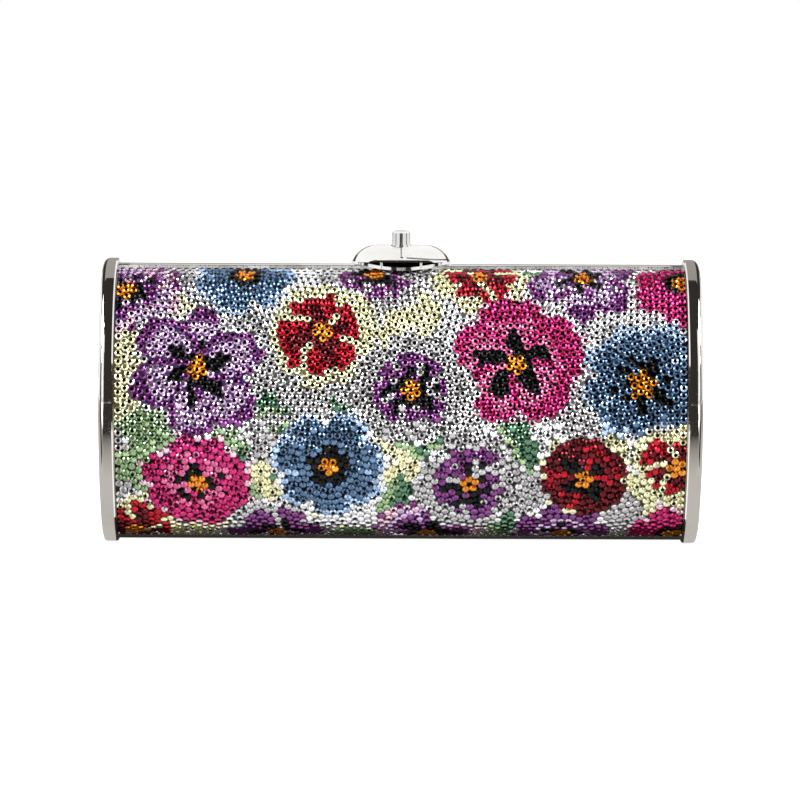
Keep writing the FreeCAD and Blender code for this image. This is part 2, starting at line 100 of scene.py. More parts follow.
def vectors(tree, operation, first, second):
    key = "Scale" if operation == "SCALE" else 1
    return addNode(tree, "ShaderNodeVectorMath", {0: first, key: second}, operation=operation)


def ranged(tree, value, low, high, least, most):
    return addNode(tree, "ShaderNodeMapRange", {
        "Value": value, "From Min": low, "From Max": high, "To Min": least, "To Max": most})


def twoTones(tree, share, first, second):
    tones = {"Factor": share, "A": (*linear(*first), 1.0), "B": (*linear(*second), 1.0)}
    return outOf(addNode(tree, "ShaderNodeMix", tones, data_type="RGBA"), "Result")


def bumped(tree, height, strength, distance):
    return addNode(tree, "ShaderNodeBump", {"Height": height, "Strength": strength, "Distance": distance})


def objectPlace(tree):
    return outOf(addNode(tree, "ShaderNodeTexCoord"), "Object")


def painted(tree, name, key="Fac"):
    return outOf(addNode(tree, "ShaderNodeAttribute", attribute_name=name), key)


def named(tree, name, kind="FLOAT_VECTOR"):
    node = addNode(tree, "GeometryNodeInputNamedAttribute", {"Name": name}, data_type=kind)
    return outOf(node, "Attribute")


def facingOut(tree):
    return addNode(tree, "FunctionNodeAlignRotationToVector", {"Vector": named(tree, "setNormal")}, axis="Z")


def store(tree, geometry, name, value, kind, domain):
    return addNode(tree, "GeometryNodeStoreNamedAttribute", {
        "Geometry": geometry, "Name": name, "Value": value}, data_type=kind, domain=domain)


def newTree(name, kind, entries, exits):
    # an entry is a socket type or a first value, which tells the type
    tree = bpy.data.node_groups.new(name, kind)
    for label, value in entries.items():
        plain = not isinstance(value, str)
        made = tree.interface.new_socket(name=label, in_out="INPUT",
                                         socket_type=socketKinds[type(value)] if plain else value)
        if plain:
            made.default_value = value
    for label, socketKind in exits.items():
        tree.interface.new_socket(name=label, in_out="OUTPUT", socket_type=socketKind)
    return tree, tree.nodes.new("NodeGroupInput"), tree.nodes.new("NodeGroupOutput")


def emptyTree(owner):
    owner.use_nodes = True
    owner.node_tree.nodes.clear()
    return owner.node_tree


def newMaterial(name, **constants):
    material = bpy.data.materials.new(name)
    tree = emptyTree(material)
    shader = addNode(tree, "ShaderNodeBsdfPrincipled")
    for label, value in constants.items():
        shader.inputs[label.replace("_", " ")].default_value = value
    addNode(tree, "ShaderNodeOutputMaterial", {"Surface": shader})
    return material, tree, shader


def newObject(name, points, faces):
    mesh = bpy.data.meshes.new(name)
    mesh.from_pydata(points, [], faces)
    mesh.update()
    piece = bpy.data.objects.new(name, mesh)
    scene.collection.objects.link(piece)
    return piece


def runTree(piece, tree, values):
    # sets the inputs, takes the result as a plain mesh and drops the modifier
    modifier = piece.modifiers.new(tree.name, "NODES")
    modifier.node_group = tree
    for item in tree.interface.items_tree:
        if item.in_out == "INPUT" and item.name in values:
            modifier[item.identifier] = values[item.name]
    depsgraph = bpy.context.evaluated_depsgraph_get()
    made = bpy.data.meshes.new_from_object(piece.evaluated_get(depsgraph), preserve_all_data_layers=True,
                                           depsgraph=depsgraph)
    piece.modifiers.remove(modifier)
    old = piece.data
    piece.data = made
    bpy.data.meshes.remove(old)
    made.name = piece.name
    return piece


def pointVectors(piece, name, values):
    held = piece.data.attributes.new(name, "FLOAT_VECTOR", "POINT")
    held.data.foreach_set("vector", np.asarray(values, np.float32).ravel())


def pointColours(piece, name, values):
    held = piece.data.attributes.new(name, "FLOAT_COLOR", "POINT")
    held.data.foreach_set("color", np.c_[values, np.ones(len(values))].astype(np.float32).ravel())


def pointValues(piece, name, values):
    held = piece.data.attributes.new(name, "FLOAT", "POINT")
    held.data.foreach_set("value", np.asarray(values, np.float32))


def linear(red, green, blue):
    # from a screen colour to amounts of light
    shares = []
    for value in (red, green, blue):
        share = value / 255
        shares.append(share / 12.92 if share <= 0.04045 else ((share + 0.055) / 1.055) ** 2.4)
    return tuple(shares)


# Camera

photoCamera = {
    "lens": 159.05,
    "sensor": 36.0,
    "distance": 1100.0,
    "elevation": 5.85,
    "azimuth": -0.21,
    "roll": 0.254,
    "aim": (-0.16, 0.0, 44.03),
}


def placeCamera(view):
    data = bpy.data.cameras.new("photoCamera")
    data.lens = view["lens"]
    data.sensor_width = view["sensor"]
    data.clip_start = 0.01
    data.clip_end = 100.0
    camera = bpy.data.objects.new("photoCamera", data)
    scene.collection.objects.link(camera)
    turn, lift = math.radians(view["azimuth"]), math.radians(view["elevation"])
    back = Vector((math.sin(turn) * math.cos(lift), -math.cos(turn) * math.cos(lift), math.sin(lift)))
    camera.location = Vector(view["aim"]) * mm + back * view["distance"] * mm
    roll = Quaternion((0, 0, 1), math.radians(view["roll"]))
    camera.rotation_mode = "QUATERNION"
    camera.rotation_quaternion = (-back).to_track_quat("-Z", "Y") @ roll
    scene.camera = camera


placeCamera(photoCamera)


# The case's oval, read from the parts: two end arcs and two side arcs, every inset one parallel

def readOval():
    capLow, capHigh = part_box("front_left_cap")
    stoneLow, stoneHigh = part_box("front_crystals")
    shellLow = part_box("front_shell")[0]
    leatherLow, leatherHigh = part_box("front_lining")
    centre = (stoneLow.z + stoneHigh.z) / 2 / mm
    tall, deep = capHigh.z / mm - centre, -capLow.y / mm
    diagonal = math.hypot(tall, deep)
    endRadius = diagonal * (diagonal - tall + deep) / (2 * tall)
    sideRadius = diagonal * (diagonal + tall - deep) / (2 * deep)
    return {
        "centre": centre,
        "endRadius": endRadius,
        "sideRadius": sideRadius,
        "endOffset": tall - endRadius,
        "sideOffset": sideRadius - deep,
        "bend": math.atan2(tall - endRadius, sideRadius - deep),
        "bedInset": deep + shellLow.y / mm,
        "stoneEnd": stoneHigh.x / mm,
        "stoneEdge": -stoneHigh.y / mm,
        "leatherInset": deep + leatherLow.y / mm,
        "leatherEnd": leatherHigh.x / mm,
        "leatherEdge": -leatherHigh.y / mm,
    }


oval = readOval()


def ovalAngle(along, inset):
    # the slope angle of the surface's normal at a distance up from the middle of the side
    side, end = oval["sideRadius"] - inset, oval["endRadius"] - inset
    reach = np.abs(along)
    sideReach = side * oval["bend"]
    angle = np.where(reach < sideReach, reach / side, oval["bend"] + (reach - sideReach) / end)
    return np.sign(along) * angle


def ovalReach(edge, inset):
    # the distance up from the middle at which the surface is this far from the seam
    side, end = oval["sideRadius"] - inset, oval["endRadius"] - inset
    angle = np.arccos(edge / end)
    return side * np.minimum(angle, oval["bend"]) + end * np.maximum(0.0, angle - oval["bend"])


def ovalPoint(angle, inset):
    # depth and height of the surface, the depth counted outward from the seam
    onSide = np.abs(angle) < oval["bend"]
    radius = np.where(onSide, oval["sideRadius"], oval["endRadius"]) - inset
    depth = radius * np.cos(angle) - np.where(onSide, oval["sideOffset"], 0.0)
    height = radius * np.sin(angle) + np.where(onSide, 0.0, np.sign(angle) * oval["endOffset"])
    return depth, height + oval["centre"]


def slabMesh(name, outer, inner, rows, columns, flip):
    # a closed slab from two grids of points and the strips that join their edges
    count = rows * columns
    faces = []
    for row in range(rows - 1):
        for column in range(columns - 1):
            a = row * columns + column
            face = (a, a + 1, a + columns + 1, a + columns)
            faces += [face, tuple(count + v for v in reversed(face))]
    ring = list(range(columns))
    ring += [r * columns + columns - 1 for r in range(1, rows)]
    ring += [(rows - 1) * columns + c for c in range(columns - 2, -1, -1)]
    ring += [r * columns for r in range(rows - 2, 0, -1)]
    for a, b in zip(ring, ring[1:] + ring[:1]):
        faces.append((b, a, count + a, count + b))
    if flip:
        faces = [tuple(reversed(face)) for face in faces]
    return newObject(name, (np.concatenate([outer, inner]) * mm).tolist(), faces)


def curvedSlab(name, side, across, up, outerInset, innerInset):
    # a slab round one half of the oval, from grids of places across the case and up its curve
    rows, columns = across.shape
    angle = ovalAngle(up.ravel(), np.asarray(outerInset).ravel())
    layers = []
    for inset in (outerInset, innerInset):
        depth, height = ovalPoint(angle, np.asarray(inset).ravel())
        layers.append(np.stack([across.ravel(), side * depth, height], 1))
    return slabMesh(name, layers[0], layers[1], rows, columns, side > 0)


# The flowers that the stones draw

stoneColours = {
    "magenta": (202, 48, 118),
    "rose": (226, 112, 160),
    "blush": (238, 200, 214),
    "plum": (132, 70, 132),
    "lilac": (212, 180, 218),
    "denim": (90, 118, 150),
    "sky": (172, 198, 232),
    "cream": (246, 240, 194),
    "silver": (196, 194, 195),
    "clear": (248, 248, 250),
    "red": (184, 18, 40),
    "garnet": (104, 8, 26),
    "jet": (8, 8, 9),
    "amber": (228, 142, 40),
    "leaf": (90, 130, 102),
    "mint": (156, 184, 140),
}
colourNames = list(stoneColours)

# petals are counted, the tip is a power, the rest are shares of the petal or the flower
blossomShares = ("petals", "width", "tip", "streak", "blotch", "eye", "ring")
blossomKinds = {
    "anemone": (7, 0.50, 3.2, 0.0, 0.0, 0.17, 0.34),
    "cosmos": (8, 0.40, 6.0, 0.50, 0.62, 0.20, 0.0),
    "wildRose": (5, 0.74, 3.0, 0.56, 0.66, 0.18, 0.0),
    "poppy": (4, 0.92, 3.4, 0.60, 0.70, 0.20, 0.0),
    "clematis": (6, 0.62, 1.5, 0.50, 0.80, 0.18, 0.0),
}
petalForm = {
    "sway": 5,
    "lengths": (0.9, 1.05),
    "vigours": (0.85, 1.15),
    "swell": 0.55,
    "outlineFrom": 0.3,
    "rimFrom": 0.5,
    "tipRim": 2.8,
    "sideRim": 1.3,
    "blotchWidth": 0.72,
    "streakWidth": 0.66,
    "streakTaper": 1.15,
    "leastEye": 3.2,
    "seed": 40,
}

# petal, rim, blotch, streak, outline
blossomDyes = {
    "magenta": ("magenta", "magenta", "rose", "jet", "blush"),
    "plum": ("plum", "plum", "lilac", "jet", "clear"),
    "denim": ("denim", "sky", "denim", "jet", "clear"),
    "red": ("red", "garnet", "garnet", "jet", "cream"),
    "lilac": ("lilac", "blush", "plum", "jet", "plum"),
    "cream": ("cream", "cream", "red", "garnet", "clear"),
    "silver": ("silver", "silver", "plum", "jet", "clear"),
    "sky": ("sky", "clear", "denim", "jet", "denim"),
}

# kind, dye, place along the case, place up from the middle, radius, turn
frontBlossoms = (
    ("cosmos", "silver", -8, 46, 17, 8),
    ("clematis", "plum", 56, 44, 17, 20),
    ("wildRose", "cream", 24, 45, 16, 50),
    ("anemone", "denim", -48, 45, 16, 0),
    ("cosmos", "lilac", -84, 38, 16, 30),
    ("anemone", "magenta", 86, 42, 15, 10),
    ("clematis", "silver", -38, -46, 18, 5),
    ("wildRose", "lilac", 8, -46, 17, 70),
    ("anemone", "magenta", 84, -46, 15, 0),
    ("cosmos", "plum", 50, -46, 16, 12),
    ("wildRose", "cream", -82, -44, 17, 0),
    ("poppy", "cream", -24, 24, 17, 15),
    ("cosmos", "denim", 73, 8, 20, 12),
    ("wildRose", "magenta", 35, 14, 20, 22),
    ("clematis", "plum", -62, 12, 21, 80),
    ("cosmos", "silver", 3, 6, 18, 6),
    ("poppy", "red", 56, -22, 13, 40),
    ("anemone", "denim", -22, -18, 18, 14),
    ("cosmos", "magenta", -62, -24, 17, 20),
    ("cosmos", "silver", 21, -24, 17, 60),
    ("wildRose", "cream", 84, -18, 14, 0),
)
rearBlossoms = (
    ("clematis", "sky", -70, 44, 16, 0),
    ("wildRose", "magenta", -32, 43, 16, 30),
    ("cosmos", "plum", 10, 45, 15, 5),
    ("poppy", "cream", 46, 43, 16, 40),
    ("cosmos", "silver", 82, 40, 16, 0),
    ("anemone", "denim", 74, -42, 16, 20),
    ("cosmos", "plum", 36, -43, 16, 0),
    ("wildRose", "cream", -6, -45, 15, 60),
    ("poppy", "red", -46, -42, 15, 10),
    ("anemone", "magenta", -82, -40, 15, 0),
    ("wildRose", "magenta", -56, 6, 22, 10),
    ("anemone", "denim", -14, 10, 20, 25),
    ("cosmos", "silver", 28, 12, 20, 45),
    ("poppy", "red", 62, 4, 17, 25),
    ("cosmos", "lilac", 86, -8, 15, 0),
    ("clematis", "plum", -85, 14, 15, 10),
    ("wildRose", "lilac", 12, -19, 17, 15),
    ("cosmos", "silver", -34, -21, 17, 0),
)
flowerField = {
    "reach": (92, 54),
    "patches": 34,
    "ground": ("silver", "cream", "clear", "silver", "cream", "clear", "mint"),
    "wobble": 2.2,
    "waves": (0.31, 0.17, 0.11, 0.27),
    "waveStart": 1.3,
    "leaves": 20,
    "leafReach": (88, 50),
    "leafLength": (9.0, 15.0),
    "leafWidth": 0.34,
    "leafSplit": 0.25,
    "outline": 1.7,
    "seed": 11,
    "lattices": 6,
    "latticeTurns": 60,
    "firstTurn": 7,
}


def inkIndex(name):
    return colourNames.index(name)


def somewhere(draw, reach):
    return draw.uniform(-reach[0], reach[0]), draw.uniform(-reach[1], reach[1])


def turnedTo(across, up, place, turn):
    right, above = across - place[0], up - place[1]
    along = right * math.cos(turn) + above * math.sin(turn)
    aside = above * math.cos(turn) - right * math.sin(turn)
    return along, aside


def paintGround(across, up, ink, owner, draw):
    # pale patches, each set in rows of its own direction
    field, wobble = flowerField, flowerField["wobble"]
    first, second, third, fourth = field["waves"]
    bentAcross = across + wobble * np.sin(up * first + field["waveStart"])
    bentAcross = bentAcross + wobble * np.sin(across * second + up * third)
    bentUp = up + wobble * np.sin(across * fourth)
    nearest = np.full(across.shape, np.inf)
    for index in range(field["patches"]):
        place = somewhere(draw, field["reach"])
        gap = np.hypot(bentAcross - place[0], bentUp - place[1])
        closer = gap < nearest
        nearest[closer] = gap[closer]
        ink[closer] = inkIndex(field["ground"][index % len(field["ground"])])
        owner[closer] = -1 - index % field["lattices"]


def paintLeaves(across, up, ink, draw):
    field = flowerField
    for _ in range(field["leaves"]):
        place = somewhere(draw, field["leafReach"])
        turn, length = draw.uniform(0, math.pi), draw.uniform(*field["leafLength"])
        along, aside = turnedTo(across, up, place, turn)
        share = np.clip(along / length, -1, 1)
        edge = field["leafWidth"] * length * (1 - share ** 2)
        inside = (np.abs(along) < length) & (np.abs(aside) < edge)
        ink[inside] = inkIndex("leaf")
        ink[inside & (aside > field["leafSplit"] * edge)] = inkIndex("mint")


def paintBlossom(across, up, ink, owner, index, row):
    # petal by petal, so that each lies over the one before
    kindName, dye, x, s, radius, turn = row
    kind, form = dict(zip(blossomShares, blossomKinds[kindName])), petalForm
    petalInk, rimInk, blotchInk, streakInk, lineInk = (inkIndex(name) for name in blossomDyes[dye])
    draw = random.Random(index + form["seed"])
    petals = []
    for petal in range(kind["petals"]):
        sway = draw.uniform(-form["sway"], form["sway"])
        heading = math.radians(turn + 360 * petal / kind["petals"] + sway)
        length = radius * draw.uniform(*form["lengths"])
        along, aside = turnedTo(across, up, (x, s), heading)
        share, aside = np.clip(along / length, 0, 1), np.abs(aside)
        edge = kind["width"] * length * share ** form["swell"] * np.sqrt(1 - share ** kind["tip"])
        petals.append((along, aside, share, edge, length, draw.uniform(*form["vigours"])))
    line = flowerField["outline"]
    for along, aside, share, edge, length, vigour in petals:
        near = (along > 0) & (along < length + line) & (aside < edge + line)
        ink[near & (share > form["outlineFrom"])] = lineInk
    for along, aside, share, edge, length, vigour in petals:
        inside = (along > 0) & (along < length) & (aside < edge)
        owner[inside] = index
        ink[inside] = petalInk
        rim = (length - along < form["tipRim"]) | (edge - aside < form["sideRim"])
        ink[inside & (share > form["rimFrom"]) & rim] = rimInk
        blotch, streak = kind["blotch"] * vigour, kind["streak"] * vigour
        if blotch:
            ink[inside & (share < blotch) & (aside < form["blotchWidth"] * edge)] = blotchInk
        if streak:
            width = form["streakWidth"] * edge * (form["streakTaper"] - share / streak)
            ink[inside & (share < streak) & (aside < width)] = streakInk
    distance = np.hypot(across - x, up - s)
    if kind["ring"]:
        ink[distance < kind["ring"] * radius] = streakInk
    ink[distance < max(form["leastEye"], kind["eye"] * radius)] = inkIndex("amber")


def paintFlowers(across, up, blossoms, side, paints):
    ink = np.zeros(across.shape, int)
    owner = np.zeros(across.shape, int)
    draw = random.Random(flowerField["seed"] + side)
    paintGround(across, up, ink, owner, draw)
    paintLeaves(across, up, ink, draw)
    for index, row in enumerate(blossoms):
        paintBlossom(across, up, ink, owner, index, row)
    return np.array([linear(*paints[name]) for name in colourNames])[ink], owner


# The stones and the painted bed that they are set in

stoneSetting = {
    "pitch": 2.4,
    "rowPitch": 2.08,
    "radius": 1.28,
    "sides": 8,
    "girdleShare": 0.93,
    "tableShare": 0.5,
    "girdleHeight": 0.36,
    "crownHeight": 0.36,
    "sizeSpread": 0.04,
    "bedLift": 0.06,
    "bedStep": 1.14,
    "bedCover": 0.04,
    "bedOverlap": 0.01,
    "bedMargin": 0.02,
    "bedShade": 0.08,
    "ringReach": 1.1,
    "nearest": 1.9,
    "spacing": 2.34,
    "rounds": 14,
    "push": 0.35,
    "leastGap": 0.01,
    "hole": 1.64,
    "probe": 0.6,
    "fills": 4,
    "lean": 5.0,
    "shadeSpread": 0.08,
    "shadeLimits": (0.004, 0.95),
    "facetTones": (0.95, 1.35),
    # painted shade: facets facing down are darkened to this tone, fading out over this range of the normal's
    # upward part
    "underFacetShade": 0.5,
    "underFacing": (-0.95, -0.4),
    # painted reflection: the share of tables painted dark at each slope, and their tone; the other tables
    # get a random tone
    "shadedTableShares": (0.24, 0.84, 0.97),
    "shadedTableAngles": (-16.0, -3.0, 25.0),
    "tableShadeTone": 0.008,
    "lightTones": (0.6, 1.0),
    "coat": 0.22,
    "guideClearance": 3.7,
    "seed": 21,
}
# the bed is painted in the stones' own colours, darkened as painted shade between the stones; under these
# stones it is painted lighter
bedPaints = {
    "plum": (40, 26, 84),
    "lilac": (64, 56, 106),
    "silver": (46, 46, 47),
    "clear": (84, 84, 88),
    "cream": (84, 80, 56),
    "blush": (80, 60, 70),
}


def stoneInset():
    return oval["bedInset"] - stoneSetting["bedLift"]


def firstSpots(width, reach, blossoms, side):
    # a row along every edge, rings round each flower's eye, and turned rows on the ground
    pitch, rowPitch = stoneSetting["pitch"], stoneSetting["rowPitch"]
    rim = []
    for place in np.linspace(-width, width, int(2 * width / pitch) + 1):
        rim += [(place, -reach), (place, reach)]
    for place in np.linspace(-reach, reach, int(2 * reach / pitch) + 1)[1:-1]:
        rim += [(-width, place), (width, place)]
    spots, wanted = [], []
    for index, (kind, dye, x, s, radius, turn) in reversed(list(enumerate(blossoms))):
        for ring in range(int(radius * stoneSetting["ringReach"] / rowPitch) + 1):
            count = max(1, round(2 * math.pi * ring * rowPitch / pitch))
            for step in range(count):
                angle = 2 * math.pi * (step + 0.5 * ring) / count + math.radians(turn)
                reached = ring * rowPitch
                spots.append((x + reached * math.cos(angle), s + reached * math.sin(angle)))
                wanted.append(index)
    far = int(math.hypot(width, reach) / rowPitch) + 2
    for lattice in range(flowerField["lattices"]):
        turn = math.radians(lattice * flowerField["latticeTurns"] / flowerField["lattices"]
                            + flowerField["firstTurn"])
        for row in range(-far, far):
            for column in range(-far, far):
                along, aside = (column + 0.5 * (row % 2)) * pitch, row * rowPitch
                spots.append((along * math.cos(turn) - aside * math.sin(turn),
                              along * math.sin(turn) + aside * math.cos(turn)))
                wanted.append(-1 - lattice)
    spots, wanted = np.array(spots), np.array(wanted)
    fits = (np.abs(spots[:, 0]) < width) & (np.abs(spots[:, 1]) < reach)
    spots, wanted = spots[fits], wanted[fits]
    owner = paintFlowers(spots[:, 0], spots[:, 1], blossoms, side, stoneColours)[1]
    return rim + [tuple(spot) for spot in spots[owner == wanted]]


def thinned(spots, nearest):
    # keeps a spot only if it is clear of those kept before it
    kept, cells = [], {}
    for spot in spots:
        cell = int(spot[0] // nearest), int(spot[1] // nearest)
        close = False
        for i in (-1, 0, 1):
            for j in (-1, 0, 1):
                for other in cells.get((cell[0] + i, cell[1] + j), ()):
                    close = close or math.dist(spot, other) < nearest
        if not close:
            kept.append(spot)
            cells.setdefault(cell, []).append(spot)
    return kept


def spotTree(spots):
    tree = kdtree.KDTree(len(spots))
    for index, (x, s) in enumerate(spots):
        tree.insert((x, s, 0), index)
    tree.balance()
    return tree


def pushApart(spots, spacing, rounds, width, reach):
    spots = np.array(spots)
    for _ in range(rounds):
        tree = spotTree(spots)
        pairs = [(a, found[1]) for a, (x, s) in enumerate(spots)
                 for found in tree.find_range((x, s, 0), spacing) if found[1] > a]
        first, second = np.array(pairs).T
        gap = spots[second] - spots[first]
        distance = np.maximum(np.hypot(gap[:, 0], gap[:, 1]), stoneSetting["leastGap"])
        push = gap * (stoneSetting["push"] * (spacing - distance) / distance)[:, None]
        np.add.at(spots, second, push)
        np.add.at(spots, first, -push)
        spots[:, 0] = np.clip(spots[:, 0], -width, width)
        spots[:, 1] = np.clip(spots[:, 1], -reach, reach)
    return spots


def fillHoles(spots, width, reach, hole):
    tree = spotTree(spots)
    added = []
    for x in np.arange(-width, width, stoneSetting["probe"]):
        for s in np.arange(-reach, reach, stoneSetting["probe"]):
            if tree.find((x, s, 0))[2] > hole and all(math.dist((x, s), other) > hole for other in added):
                added.append((x, s))
    return np.concatenate([spots, np.array(added).reshape(-1, 2)])


def stonePlaces(side, blossoms):
    stone = stoneSetting
    width = oval["stoneEnd"] - stone["radius"]
    reach = float(ovalReach(oval["stoneEdge"] + stone["radius"], stoneInset()))
    spots = thinned(firstSpots(width, reach, blossoms, side), stone["nearest"])
    for _ in range(stone["fills"]):
        spots = pushApart(spots, stone["spacing"], stone["rounds"], width, reach)
        spots = fillHoles(spots, width, reach, stone["hole"])
    spots = pushApart(spots, stone["spacing"], stone["rounds"], width, reach)
    across, up = spots.T
    angle = ovalAngle(up, stoneInset())
    depth, height = ovalPoint(angle, stoneInset())
    clear = np.hypot(across, depth) > stone["guideClearance"] + stone["radius"]
    across, up, angle, depth, height = (each[clear] for each in (across, up, angle, depth, height))
    draw = np.random.default_rng(stone["seed"] + side)
    colours = paintFlowers(across, up, blossoms, side, stoneColours)[0]
    shades = 1 + draw.normal(0, stone["shadeSpread"], (len(up), 1))
    colours = np.clip(colours * shades, *stone["shadeLimits"])
    # painted reflection: most tables are painted dark, fewer of them low down
    chance = np.interp(np.degrees(angle), stone["shadedTableAngles"], stone["shadedTableShares"])
    dark = draw.random(len(up)) < chance
    tables = np.where(dark, stone["tableShadeTone"], draw.uniform(*stone["lightTones"], len(up)))
    points = np.stack([across, side * depth, height], 1) * mm
    normals = np.stack([0 * up, side * np.cos(angle), np.sin(angle)], 1)
    return points, normals, colours, tables


# where a stone and its base lie in their cell of the texture map, and how near its corners are welded
stoneNet = {
    "reach": 0.4,
    "baseReach": 0.04,
    "corner": (0.44, 0.44, 0.0),
    "middle": (0.5, 0.5, 0.0),
    "weld": 0.001,
}


def stoneTree():
    tree, entry, leave = newTree("setStones", "GeometryNodeTree", {
        "Geometry": "NodeSocketGeometry",
        "Radius": 0.001,
        "Sides": 8,
        "Girdle Share": 0.9,
        "Table Share": 0.5,
        "Girdle Height": 0.0003,
        "Crown Height": 0.0005,
        "Size Spread": 0.04,
        "Lean": (0.05, 0.05, 3.14),
        "Least Tone": 0.9,
        "Most Tone": 1.3,
        "Under Facet Shade": 0.3,
        "Under From": -0.8,
        "Under To": -0.3,
        "Map Cells": 64.0,
        "Seed": 1,
        "Material": "NodeSocketMaterial",
    }, {"Geometry": "NodeSocketGeometry"})
    given = entry.outputs
    radius, cells, seed = given["Radius"], given["Map Cells"], given["Seed"]
    place = addNode(tree, "GeometryNodeInputPosition")

    def drawnIn(share):
        narrow = addNode(tree, "ShaderNodeCombineXYZ", {"X": share, "Y": share, "Z": 1.0})
        return vectors(tree, "MULTIPLY", place, narrow)

    def drawn(least, most, kind="FLOAT"):
        limits = {"Min": least, "Max": most, "Seed": seed}
        return outOf(addNode(tree, "FunctionNodeRandomValue", limits, data_type=kind), "Value")

    disc = addNode(tree, "GeometryNodeMeshCircle", {
        "Vertices": given["Sides"], "Radius": radius}, fill_type="NGON")
    girdle = addNode(tree, "GeometryNodeExtrudeMesh", {
        "Mesh": disc, "Offset Scale": given["Girdle Height"], "Individual": False}, mode="FACES")
    shoulder = addNode(tree, "GeometryNodeSetPosition", {
        "Geometry": outOf(girdle, "Mesh"), "Selection": outOf(girdle, "Top"),
        "Position": drawnIn(given["Girdle Share"])})
    crown = addNode(tree, "GeometryNodeExtrudeMesh", {
        "Mesh": shoulder, "Selection": outOf(girdle, "Top"),
        "Offset Scale": given["Crown Height"], "Individual": False}, mode="FACES")
    turned = addNode(tree, "ShaderNodeVectorRotate", {
        "Vector": drawnIn(given["Table Share"]),
        "Angle": maths(tree, "DIVIDE", math.pi, given["Sides"])}, rotation_type="Z_AXIS")
    cut = addNode(tree, "GeometryNodeSetPosition", {
        "Geometry": outOf(crown, "Mesh"), "Selection": outOf(crown, "Top"), "Position": turned})
    tables = store(tree, cut, "tableFacet", outOf(crown, "Top"), "FLOAT", "FACE")
    # a base closes the stone underneath
    flipped = addNode(tree, "GeometryNodeFlipFaces", {"Mesh": disc})
    base = store(tree, flipped, "stoneBase", 1.0, "FLOAT", "FACE")
    closed = addNode(tree, "GeometryNodeJoinGeometry")
    for part in (tables, base):
        feed(tree, closed, {"Geometry": part})
    welded = addNode(tree, "GeometryNodeMergeByDistance", {
        "Geometry": closed, "Distance": maths(tree, "MULTIPLY", radius, stoneNet["weld"])})
    facets = addNode(tree, "GeometryNodeTriangulate", {"Mesh": welded})
    flat = addNode(tree, "GeometryNodeSetShadeSmooth", {"Geometry": facets, "Shade Smooth": False})
    # each stone gets its own cell of the texture map, with its base small in a corner
    below = named(tree, "stoneBase", "FLOAT")
    span = ranged(tree, below, 0.0, 1.0, stoneNet["reach"], stoneNet["baseReach"])
    local = vectors(tree, "SCALE", place, maths(tree, "DIVIDE", span, radius))
    corner = vectors(tree, "SCALE", stoneNet["corner"], below)
    laid = vectors(tree, "ADD", local, corner)
    mapped = store(tree, flat, "stoneMap", laid, "FLOAT_VECTOR", "CORNER")
    index = addNode(tree, "GeometryNodeInputIndex")
    cell = addNode(tree, "ShaderNodeCombineXYZ", {
        "X": maths(tree, "MODULO", index, cells),
        "Y": maths(tree, "FLOOR", maths(tree, "DIVIDE", index, cells))})
    numbered = store(tree, given["Geometry"], "stoneCell", cell, "FLOAT_VECTOR", "POINT")
    # the stones lean a little and differ in size
    leans = drawn(vectors(tree, "SCALE", given["Lean"], -1.0), given["Lean"], "FLOAT_VECTOR")
    lean = addNode(tree, "FunctionNodeEulerToRotation", {"Euler": leans})
    setting = addNode(tree, "FunctionNodeRotateRotation", {
        "Rotation": facingOut(tree), "Rotate By": lean}, rotation_space="LOCAL")
    stones = addNode(tree, "GeometryNodeInstanceOnPoints", {
        "Points": numbered, "Instance": mapped, "Rotation": setting,
        "Scale": drawn(maths(tree, "SUBTRACT", 1.0, given["Size Spread"]), 1.0)})
    real = addNode(tree, "GeometryNodeRealizeInstances", {"Geometry": stones})
    # painted shade: facets that look down are darker
    looking = addNode(tree, "ShaderNodeSeparateXYZ", {"Vector": addNode(tree, "GeometryNodeInputNormal")})
    under = ranged(tree, outOf(looking, "Z"), given["Under From"], given["Under To"],
                   given["Under Facet Shade"], 1.0)
    # each facet keeps a random tone times that painted shade
    tone = maths(tree, "MULTIPLY", drawn(given["Least Tone"], given["Most Tone"]), under)
    toned = store(tree, real, "facetToneAndShade", tone, "FLOAT", "FACE")
    both = vectors(tree, "ADD", named(tree, "stoneCell"), named(tree, "stoneMap"))
    centred = vectors(tree, "ADD", both, stoneNet["middle"])
    scaled = vectors(tree, "SCALE", centred, maths(tree, "DIVIDE", 1.0, cells))
    unfolded = store(tree, toned, "OFBake", scaled, "FLOAT2", "CORNER")
    dressed = addNode(tree, "GeometryNodeSetMaterial", {"Geometry": unfolded, "Material": given["Material"]})
    feed(tree, leave, {"Geometry": dressed})
    return tree


def stoneMaterial():
    material, tree, shader = newMaterial("foiledStone", Metallic=0.85, Coat_Roughness=0.03,
                                         Coat_IOR=1.55, Roughness=0.06)
    # each table takes its painted dark reflection or its random tone, and its coat goes with it
    shade = ranged(tree, painted(tree, "tableFacet"), 0.0, 1.0, 1.0, painted(tree, "tableToneAndShade"))
    tone = maths(tree, "MULTIPLY", shade, painted(tree, "facetToneAndShade"))
    feed(tree, shader, {
        "Base Color": vectors(tree, "SCALE", painted(tree, "stoneColour", "Color"), tone),
        "Coat Weight": maths(tree, "MULTIPLY", shade, stoneSetting["coat"]),
    })
    return material


def joinCrystals(piece, half):
    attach(piece, half + "_half")
    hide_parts(half + "_crystals")


